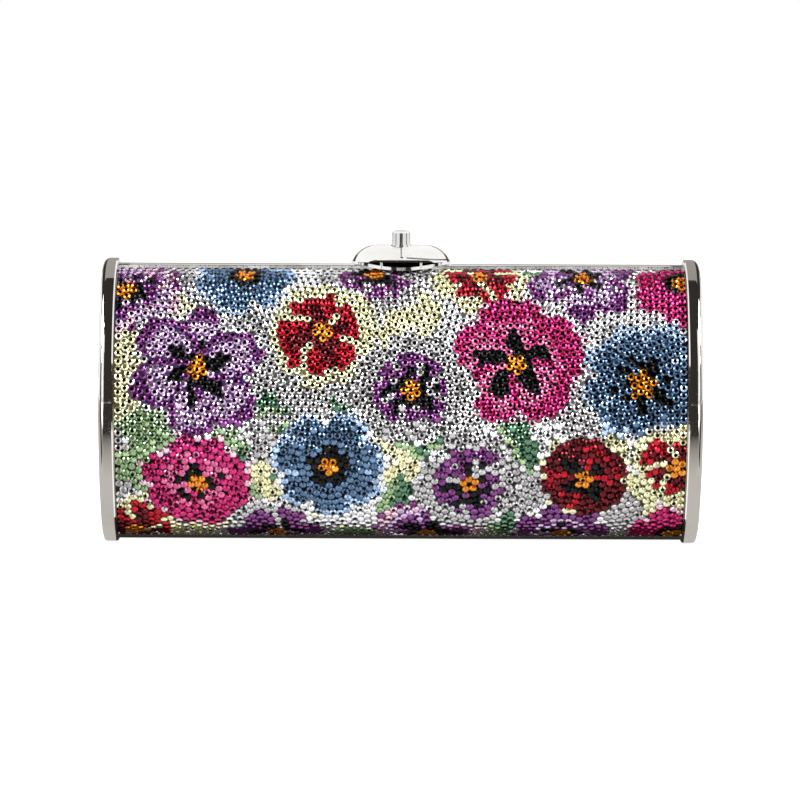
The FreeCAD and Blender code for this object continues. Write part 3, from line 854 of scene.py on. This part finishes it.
def setStones(side, half, blossoms, tree, material):
    stone = stoneSetting
    points, normals, colours, tables = stonePlaces(side, blossoms)
    piece = newObject(half + "_stones", points.tolist(), [])
    pointVectors(piece, "setNormal", normals)
    pointColours(piece, "stoneColour", colours)
    pointValues(piece, "tableToneAndShade", tables)
    lean = math.radians(stone["lean"])
    runTree(piece, tree, {
        "Radius": stone["radius"] * mm,
        "Sides": stone["sides"],
        "Girdle Share": stone["girdleShare"],
        "Table Share": stone["tableShare"] / stone["girdleShare"],
        "Girdle Height": stone["girdleHeight"] * mm,
        "Crown Height": stone["crownHeight"] * mm,
        "Size Spread": stone["sizeSpread"],
        "Lean": (lean, lean, math.pi),
        "Least Tone": stone["facetTones"][0],
        "Most Tone": stone["facetTones"][1],
        "Under Facet Shade": stone["underFacetShade"],
        "Under From": stone["underFacing"][0],
        "Under To": stone["underFacing"][1],
        "Map Cells": float(math.ceil(math.sqrt(len(points)))),
        "Seed": stone["seed"],
        "Material": material,
    })
    joinCrystals(piece, half)
    print(piece.name, len(points), "stones,", len(piece.data.polygons), "facets")


def bedMaterial():
    material, tree, shader = newMaterial("paintedBed", Roughness=0.6, Specular_IOR_Level=0.05)
    feed(tree, shader, {"Base Color": painted(tree, "stoneColour", "Color")})
    return material


def layBed(side, half, blossoms, material):
    stone = stoneSetting
    outer, inner = stoneInset() - stone["bedCover"], oval["bedInset"] - stone["bedOverlap"]
    reach = float(ovalReach(oval["stoneEdge"] + stone["bedMargin"], outer))
    end = oval["stoneEnd"]
    columns = np.linspace(-end, end, int(2 * end / stone["bedStep"]) + 1)
    rows = np.linspace(-reach, reach, int(2 * reach / stone["bedStep"]) + 1)
    across, up = np.meshgrid(columns, rows)
    piece = curvedSlab(half + "_stone_bed", side, across, up, outer, inner)
    # real bed paint in the stones' colours, darkened by painted shade in the gaps between them
    dark = {name: [value * stone["bedShade"] for value in colour] for name, colour in stoneColours.items()}
    colours = paintFlowers(across.ravel(), up.ravel(), blossoms, side, {**dark, **bedPaints})[0]
    pointColours(piece, "stoneColour", np.tile(colours, (2, 1)))
    piece.data.materials.append(material)
    joinCrystals(piece, half)


stonesIn, bedIn, stoneNodes = stoneMaterial(), bedMaterial(), stoneTree()
for side, half, blossoms in ((-1, "front", frontBlossoms), (1, "rear", rearBlossoms)):
    setStones(side, half, blossoms, stoneNodes, stonesIn)
    layBed(side, half, blossoms, bedIn)
print("stones set")


# Leather linings with turned edges and a row of stitches

leatherLining = {
    "thickness": 0.8,
    "step": 1.5,
    "hemWidth": 7.4,
    "hemLift": 0.35,
    "hemEdge": 1.15,
    "hemSlope": 0.3,
    "clearance": 0.02,
    "stitchLine": 6.0,
    "stitchPitch": 2.7,
    "stitchLength": 1.9,
    "stitchWidth": 0.42,
    "stitchMargin": 2.5,
    "claspHalfWidth": 14.6,
    "claspBlend": 2.5,
    "claspEdge": 5.9,
    "endLift": 0.3,
    "endMargin": 0.5,
    "endGrid": (49, 13),
    "colour": (206, 203, 198),
    "crease": (158, 154, 150),
    "thread": (226, 224, 220),
}
grainForm = {
    "bend": 0.6,
    "push": 0.0008,
    "creaseWidth": 0.16,
    "cloudLift": 0.3,
    "creaseDarkening": 0.5,
    "cloudDarkening": 0.4,
    "roughness": (0.34, 0.56),
}


def leatherGrain():
    tree, entry, leave = newTree("leatherGrain", "ShaderNodeTree", {
        "Vector": "NodeSocketVector",
        "Scale": 900.0,
    }, {"Crease": "NodeSocketFloat", "Height": "NodeSocketFloat", "Cloud": "NodeSocketFloat"})
    where, scale = entry.outputs["Vector"], entry.outputs["Scale"]
    bend = addNode(tree, "ShaderNodeTexNoise", {
        "Vector": where, "Scale": maths(tree, "MULTIPLY", scale, grainForm["bend"])})
    pushed = vectors(tree, "SCALE", outOf(bend, "Color"), grainForm["push"])
    pebbles = addNode(tree, "ShaderNodeTexVoronoi", {
        "Vector": vectors(tree, "ADD", where, pushed), "Scale": scale}, feature="DISTANCE_TO_EDGE")
    crease = ranged(tree, pebbles, 0.0, grainForm["creaseWidth"], 1.0, 0.0)
    cloud = addNode(tree, "ShaderNodeTexNoise", {"Vector": where, "Scale": 70.0, "Detail": 4.0})
    height = maths(tree, "SUBTRACT", maths(tree, "MULTIPLY", cloud, grainForm["cloudLift"]), crease)
    feed(tree, leave, {"Crease": crease, "Height": height, "Cloud": cloud})
    return tree


def leatherMaterial():
    material, tree, shader = newMaterial("silverKid", Metallic=0.45, Specular_IOR_Level=0.4)
    grain = addNode(tree, "ShaderNodeGroup", {"Vector": objectPlace(tree)}, node_tree=leatherGrain())
    crease, height, cloud = grain.outputs
    # the leather is darker in the grain's creases and in soft patches
    creaseAndCloud = maths(tree, "ADD", maths(tree, "MULTIPLY", crease, grainForm["creaseDarkening"]),
                 maths(tree, "MULTIPLY", cloud, grainForm["cloudDarkening"]))
    feed(tree, shader, {
        "Base Color": twoTones(tree, creaseAndCloud, leatherLining["colour"], leatherLining["crease"]),
        "Roughness": ranged(tree, cloud, 0.0, 1.0, *grainForm["roughness"]),
        "Normal": bumped(tree, height, strength=0.5, distance=0.0002),
    })
    return material


def threadMaterial():
    material, tree, shader = newMaterial("liningThread", Roughness=0.6)
    twist = outOf(addNode(tree, "ShaderNodeTexWave", {
        "Vector": objectPlace(tree), "Scale": 1100.0, "Distortion": 1.0}, bands_direction="DIAGONAL"), "Fac")
    feed(tree, shader, {
        "Base Color": twoTones(tree, twist, leatherLining["crease"], leatherLining["thread"]),
        "Normal": bumped(tree, twist, strength=0.4, distance=0.0001),
    })
    return material


def leatherTop(across):
    # the upper edge stands back where the clasp's block comes through
    leather = leatherLining
    beside = np.clip((np.abs(across) - leather["claspHalfWidth"]) / leather["claspBlend"], 0, 1)
    eased = beside ** 2 * (3 - 2 * beside)
    edge = leather["claspEdge"] + (oval["leatherEdge"] - leather["claspEdge"]) * eased
    return ovalReach(edge, oval["leatherInset"])


def liningWall(half, side):
    leather = leatherLining
    outer = oval["leatherInset"]
    low = float(ovalReach(oval["leatherEdge"], outer))
    columns = int(2 * oval["leatherEnd"] / leather["step"]) + 1
    rows = int(2 * low / leather["step"]) + 1
    places = np.linspace(-oval["leatherEnd"], oval["leatherEnd"], columns)
    across, share = np.meshgrid(places, np.linspace(0, 1, rows))
    high = leatherTop(across)
    up = -low + share * (low + high)
    # the turned edge makes the leather thicker along the mouth
    fromEdge = np.minimum(up + low, high - up) / leather["hemWidth"]
    hem = leather["hemLift"] * np.clip((leather["hemEdge"] - fromEdge) / leather["hemSlope"], 0, 1)
    inner = outer + leather["thickness"] + hem
    return curvedSlab(half + "_lining_wall", side, across, up, outer + 0 * up, inner)


def liningEnd(half, side, hand):
    leather = leatherLining
    clear = leather["clearance"]
    inset = oval["leatherInset"] + leather["thickness"] + clear
    edge = oval["leatherEdge"]
    limit = math.acos((edge + leather["endMargin"]) / (oval["endRadius"] - inset))
    rows, columns = leather["endGrid"]
    share, angle = np.meshgrid(np.linspace(0, 1, columns), np.linspace(-limit, limit, rows))
    depth, height = ovalPoint(angle, inset)
    depth = edge + share * (depth - edge)
    # slightly padded, as leather glued over card
    bulge = np.sin(math.pi * share) * np.cos(angle * math.pi / 2 / limit)
    swell = leather["endLift"] * np.sqrt(np.clip(bulge, 0, 1))
    out = oval["leatherEnd"] - clear + 0 * depth
    layers = [np.stack([(hand * x).ravel(), (side * depth).ravel(), height.ravel()], 1)
              for x in (out, out - leather["thickness"] + clear - swell)]
    name = half + ("_lining_left_end" if hand < 0 else "_lining_right_end")
    return slabMesh(name, layers[0], layers[1], rows, columns, hand * side < 0)


def stitchTree():
    tree, entry, leave = newTree("sewStitches", "GeometryNodeTree", {
        "Geometry": "NodeSocketGeometry",
        "Length": 0.002,
        "Width": 0.0004,
        "Slant": 0.12,
        "Material": "NodeSocketMaterial",
    }, {"Geometry": "NodeSocketGeometry"})
    given = entry.outputs
    bead = addNode(tree, "GeometryNodeMeshUVSphere", {"Segments": 6, "Rings": 5, "Radius": 0.5})
    size = addNode(tree, "ShaderNodeCombineXYZ", {
        "X": given["Length"], "Y": given["Width"], "Z": given["Width"]})
    thread = addNode(tree, "GeometryNodeTransform", {"Geometry": bead, "Scale": size})
    turned = addNode(tree, "FunctionNodeAlignRotationToVector", {
        "Rotation": facingOut(tree), "Vector": named(tree, "sewnAlong")}, axis="X", pivot_axis="Z")
    slant = addNode(tree, "FunctionNodeAxisAngleToRotation", {"Axis": (0, 0, 1), "Angle": given["Slant"]})
    laid = addNode(tree, "FunctionNodeRotateRotation", {
        "Rotation": turned, "Rotate By": slant}, rotation_space="LOCAL")
    sewn = addNode(tree, "GeometryNodeInstanceOnPoints", {
        "Points": given["Geometry"], "Instance": thread, "Rotation": laid})
    real = addNode(tree, "GeometryNodeRealizeInstances", {"Geometry": sewn})
    smooth = addNode(tree, "GeometryNodeSetShadeSmooth", {"Geometry": real, "Shade Smooth": True})
    dressed = addNode(tree, "GeometryNodeSetMaterial", {"Geometry": smooth, "Material": given["Material"]})
    feed(tree, leave, {"Geometry": dressed})
    return tree


def sewStitches(half, side, tree, material):
    leather = leatherLining
    outer = oval["leatherInset"]
    reach = oval["leatherEnd"] - leather["stitchMargin"]
    across = np.linspace(-reach, reach, int(2 * reach / leather["stitchPitch"]) + 1)
    low = float(ovalReach(oval["leatherEdge"], outer)) - leather["stitchLine"]
    high = leatherTop(across) - leather["stitchLine"]
    lines = [np.stack([across, up], 1) for up in (0 * across - low, high)]
    along = np.concatenate([np.gradient(line, axis=0) for line in lines])
    across, up = np.concatenate(lines).T
    angle = ovalAngle(up, outer)
    inset = outer + leather["thickness"] + leather["hemLift"] + leather["clearance"]
    depth, height = ovalPoint(angle, inset)
    points = np.stack([across, side * depth, height], 1) * mm
    piece = newObject(half + "_lining_stitches", points.tolist(), [])
    pointVectors(piece, "setNormal", np.stack([0 * up, -side * np.cos(angle), -np.sin(angle)], 1))
    run, rise = along.T
    sewnAlong = np.stack([run, -side * rise * np.sin(angle), rise * np.cos(angle)], 1)
    pointVectors(piece, "sewnAlong", sewnAlong)
    return runTree(piece, tree, {
        "Length": leather["stitchLength"] * mm,
        "Width": leather["stitchWidth"] * mm,
        "Material": material,
    })


def lineHalf(half, side, leather, thread, tree):
    body = half + "_half"
    wall = liningWall(half, side)
    stitches = sewStitches(half, side, tree, thread)
    ends = [liningEnd(half, side, hand) for hand in (-1, 1)]
    for piece in [wall, *ends]:
        piece.data.materials.append(leather)
        piece.data.shade_smooth()
        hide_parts(half + "_lining")
    for piece in [wall, stitches, *ends]:
        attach(piece, body)


leatherIn, threadIn, stitchNodes = leatherMaterial(), threadMaterial(), stitchTree()
for half, side in (("front", -1), ("rear", 1)):
    lineHalf(half, side, leatherIn, threadIn, stitchNodes)
print("linings sewn")


# Metals

# each run of fine scratches has its turn and its squeeze
rubWear = {
    "runs": (((0.5, 0.35, 0.65), (2600.0, 90.0, 2600.0)), ((-0.8, -0.56, -1.04), (2100.0, 2100.0, 70.0))),
    "scratches": (0.62, 0.72),
    "scratchShare": 0.35,
    "levels": (0.3, 0.9),
    "stains": (0.45, 0.75),
}


def rubMarks():
    tree, entry, leave = newTree("rubMarks", "ShaderNodeTree", {
        "Vector": "NodeSocketVector",
        "Low": 0.05,
        "High": 0.16,
    }, {"Roughness": "NodeSocketFloat", "Height": "NodeSocketFloat", "Stain": "NodeSocketFloat"})
    where, low, high = list(entry.outputs)[:3]
    smudge = addNode(tree, "ShaderNodeTexNoise", {
        "Vector": where, "Scale": 60.0, "Detail": 4.0, "Roughness": 0.6})
    lines = []
    for turn, squeeze in rubWear["runs"]:
        laid = addNode(tree, "ShaderNodeMapping", {"Vector": where, "Rotation": turn, "Scale": squeeze})
        streak = addNode(tree, "ShaderNodeTexNoise", {"Vector": laid, "Scale": 1.0, "Detail": 1.0})
        lines.append(ranged(tree, streak, *rubWear["scratches"], 0.0, 1.0))
    scratch = maths(tree, "MAXIMUM", *lines)
    level = maths(tree, "ADD", smudge, maths(tree, "MULTIPLY", scratch, rubWear["scratchShare"]))
    feed(tree, leave, {
        "Roughness": ranged(tree, level, *rubWear["levels"], low, high),
        "Height": maths(tree, "SUBTRACT", smudge, scratch),
        "Stain": ranged(tree, smudge, *rubWear["stains"], 0.0, 1.0),
    })
    return tree


# clean and stained colour, least and most roughness, bump
metalFinishes = {
    "polishedSilver": ((250, 249, 247), (236, 233, 229), 0.03, 0.1, 0.02),
    "hingeSteel": ((190, 186, 180), (150, 142, 132), 0.16, 0.34, 0.08),
    "brightSteel": ((200, 200, 202), (168, 166, 166), 0.12, 0.28, 0.06),
    "platedShell": ((196, 184, 158), (160, 142, 110), 0.22, 0.42, 0.1),
}


def metalMaterial(name, rubbing):
    clean, stained, low, high, bump = metalFinishes[name]
    material, tree, shader = newMaterial(name, Metallic=1.0)
    marks = addNode(tree, "ShaderNodeGroup", {
        "Vector": objectPlace(tree), "Low": low, "High": high}, node_tree=rubbing)
    roughness, height, stain = marks.outputs
    feed(tree, shader, {
        "Base Color": twoTones(tree, stain, clean, stained),
        "Roughness": roughness,
        "Normal": bumped(tree, height, strength=bump, distance=0.0001),
    })
    return material


rubbing = rubMarks()
metals = {name: metalMaterial(name, rubbing) for name in metalFinishes}
metalOf = {
    "polishedSilver": ("_cap", "_frame", "_saddle", "_clasp_dome", "button_guide", "push_button"),
    "hingeSteel": ("hinge_leaf", "hinge_pin"),
    "brightSteel": ("screws", "button_clip", "spring", "latch"),
    "platedShell": ("_shell",),
}
# a later metal takes over, so the caps' screws are steel
for name, endings in metalOf.items():
    for node, part in nodes.items():
        if any(ending in node for ending in endings):
            part.data.materials.clear()
            part.data.materials.append(metals[name])
print("metals done")


# The coil and the leaf spring under the button, remade as merged copies, the leaf cut across

springShading = {"merge": 0.001, "sharpFrom": 35}
springs = {
    "button_spring": {
        "piece": "button_coil",
        "still": (0.0, 0.0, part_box("button_spring")[0][2]),
        "moving": (0.0, 0.0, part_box("button_spring")[1][2]),
        "steps": 1,
    },
    "latch_spring": {
        "piece": "latch_leaf",
        "still": (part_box("latch_spacer")[1][0], 0.0, 0.0),
        "moving": (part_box("push_button")[0][0], 0.0, 0.0),
        "steps": 8,
    },
}


def fitSpring(node, spring):
    still, moving = Vector(spring["still"]), Vector(spring["moving"])
    form = bmesh.new()
    form.from_mesh(nodes[node].data)
    bmesh.ops.remove_doubles(form, verts=form.verts, dist=springShading["merge"] * mm)
    # cuts across the leaf, at even steps from its still end to its moving end
    for step in range(1, spring["steps"]):
        bmesh.ops.bisect_plane(form, geom=form.verts[:] + form.edges[:] + form.faces[:],
                               plane_co=still.lerp(moving, step / spring["steps"]), plane_no=moving - still)
    form.verts.index_update()
    piece = newObject(spring["piece"], [point.co.copy() for point in form.verts],
                      [[point.index for point in face.verts] for face in form.faces])
    form.free()
    piece.data.shade_smooth()
    piece.data.set_sharp_from_angle(angle=math.radians(springShading["sharpFrom"]))
    piece.data.materials.append(metals["brightSteel"])
    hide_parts(node)
    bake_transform(piece)


for node, spring in springs.items():
    fitSpring(node, spring)
print("springs fitted")


# Floor, surroundings and lamps

studio = {
    "surround": 0.5,
    "floorGlow": 0.62,
    "floorShine": 0.25,
    "floorSize": 60000.0,
    "floorColour": (244, 244, 244),
    "floorSlot": ((-94, -54), (94, -54), (94, 3), (-94, 3)),
}
lampBoxes = {
    "leftBox": {"place": (-900.0, -500.0, 600.0), "size": (500.0, 500.0), "power": 7.0},
    "rightBox": {"place": (900.0, -500.0, 600.0), "size": (500.0, 500.0), "power": 7.0},
    "topBox": {"place": (0.0, 100.0, 1300.0), "size": (500.0, 600.0), "power": 6.0, "mirrored": False},
}
# cards that only the metal and the stones mirror: each edge's colour, reach to both sides, depth and height
darkCard, shadeCard, greyCard = (50, 46, 43), (90, 85, 80), (160, 155, 150)
paleCard, whiteCard = (190, 186, 181), (255, 255, 255)
mirrorCards = {
    "frontCard": ((darkCard, 520, -1450, 0), (darkCard, 520, -1450, 1350)),
    "roofCard": ((darkCard, 3000, -1450, 1350), (darkCard, 3000, 150, 1350)),
    "lowCard": ((darkCard, 190, -230, 1), (darkCard, 470, -1450, 1)),
    "farStrip": ((whiteCard, 194, -1430, 2), (whiteCard, 194, -1250, 2)),
    # painted shadow: a dark card under the case stands for its shadow on the floor in reflections
    "underShadowCard": ((darkCard, 88, -14, 0.7), (darkCard, 88, 12, 0.7)),
    "behindCard": ((darkCard, 1400, 1490, 0), (darkCard, 1400, 1490, 60)),
    "backCard": ((greyCard, 1000, 1500, 60), (greyCard, 1000, 1500, 520)),
    "topStrip": ((whiteCard, 86, -26, 114), (whiteCard, 86, 46, 114)),
}
# colour and edge points of those on the right, which stand mirrored on the left too
sideCards = {
    "Foot": ((darkCard, (96, -232, 0.6), (160, -232, 0.6)),
             (darkCard, (94, -130, 0.6), (160, -130, 0.6)),
             (greyCard, (88, -75, 0.6), (160, -75, 0.6)),
             (paleCard, (84, -45, 0.6), (160, -45, 0.6)),
             (paleCard, (84, 45, 0.6), (160, 45, 0.6)),
             (greyCard, (88, 75, 0.6), (160, 75, 0.6)),
             (shadeCard, (96, 232, 0.6), (160, 232, 0.6))),
    "Floor": ((paleCard, (160, -130, 0.4), (160, 232, 0.4)),
              (greyCard, (420, -230, 0.4), (420, 332, 0.4)),
              (paleCard, (900, -330, 0.4), (900, 432, 0.4))),
    "Near": ((greyCard, (40, -5, 190), (150, -5, 190)),
             (greyCard, (40, 430, 190), (150, 430, 190))),
    "Far": ((darkCard, (150, -5, 190), (320, -5, 190)),
            (darkCard, (150, 430, 190), (320, 430, 190))),
    "Shade": ((darkCard, (135, -62, 0), (135, -36, 0)),
              (darkCard, (135, -62, 90), (135, -36, 90))),
    "Wall": ((darkCard, (1400, 850, 0), (1400, 850, 40)),
             (darkCard, (1400, 1490, 0), (1400, 1490, 40))),
}


def seenDirectly(tree):
    path = addNode(tree, "ShaderNodeLightPath")
    mirrored = maths(tree, "MAXIMUM", outOf(path, "Is Glossy Ray"), outOf(path, "Is Transmission Ray"))
    return outOf(path, "Is Camera Ray"), mirrored


def whiteSurround():
    world = bpy.data.worlds.new("whiteSurround")
    scene.world = world
    tree = emptyTree(world)
    either = maths(tree, "MAXIMUM", *seenDirectly(tree))
    strength = ranged(tree, either, 0.0, 1.0, studio["surround"], 1.0)
    sky = addNode(tree, "ShaderNodeBackground", {"Color": (1, 1, 1, 1), "Strength": strength})
    addNode(tree, "ShaderNodeOutputWorld", {"Surface": sky})


def paleFloor():
    # the front half swings down through a slot in the floor
    half = studio["floorSize"] / 2
    corners = [(-half, -half), (half, -half), (half, half), (-half, half)] + list(studio["floorSlot"])
    sides = [(i, (i + 1) % 4, (i + 1) % 4 + 4, i + 4) for i in range(4)]
    floor = newObject("floor", [(x * mm, y * mm, 0) for x, y in corners], sides)
    material = bpy.data.materials.new("paleFloor")
    tree = emptyTree(material)
    matt = addNode(tree, "ShaderNodeBsdfDiffuse", {"Color": (*linear(*studio["floorColour"]), 1.0)})
    looked, mirrored = seenDirectly(tree)
    strength = maths(tree, "ADD", maths(tree, "MULTIPLY", looked, studio["floorGlow"]),
                     maths(tree, "MULTIPLY", mirrored, studio["floorShine"]))
    glow = addNode(tree, "ShaderNodeEmission", {"Color": (1, 1, 1, 1), "Strength": strength})
    both = addNode(tree, "ShaderNodeAddShader", {0: matt, 1: glow})
    addNode(tree, "ShaderNodeOutputMaterial", {"Surface": both})
    floor.data.materials.append(material)


def aimAt(thing, target):
    thing.rotation_mode = "QUATERNION"
    thing.rotation_quaternion = (target - thing.location).to_track_quat("-Z", "Y")


def hangLamps():
    middle = Vector((0, 0, oval["centre"])) * mm
    for name, box in lampBoxes.items():
        data = bpy.data.lights.new(name, "AREA")
        data.shape = "RECTANGLE"
        data.size, data.size_y = (v * mm for v in box["size"])
        data.energy = box["power"]
        lamp = bpy.data.objects.new(name, data)
        scene.collection.objects.link(lamp)
        lamp.location = Vector(box["place"]) * mm
        lamp.visible_glossy = box.get("mirrored", True)
        aimAt(lamp, middle)


def standCard(name, edges, hand, glow):
    points = [Vector((hand * x, y, z)) * mm for tint, *ends in edges for x, y, z in ends[::hand]]
    piece = newObject(name, points, [(i, i + 1, i + 3, i + 2) for i in range(0, len(points) - 2, 2)])
    pointColours(piece, "cardColour", np.repeat([linear(*tint) for tint, *ends in edges], 2, axis=0))
    piece.data.materials.append(glow)
    piece.visible_camera = False
    piece.visible_shadow = False
    piece.visible_diffuse = False


def standCards():
    glow = bpy.data.materials.new("cardGlow")
    tree = emptyTree(glow)
    colour = painted(tree, "cardColour", "Color")
    plain = addNode(tree, "ShaderNodeEmission", {"Color": colour, "Strength": 1.0})
    addNode(tree, "ShaderNodeOutputMaterial", {"Surface": plain})
    for name, edges in mirrorCards.items():
        standCard(name, [(tint, (-x, y, z), (x, y, z)) for tint, x, y, z in edges], 1, glow)
    for name, edges in sideCards.items():
        standCard("left" + name, edges, -1, glow)
        standCard("right" + name, edges, 1, glow)


whiteSurround()
paleFloor()
hangLamps()
standCards()
print("studio ready")
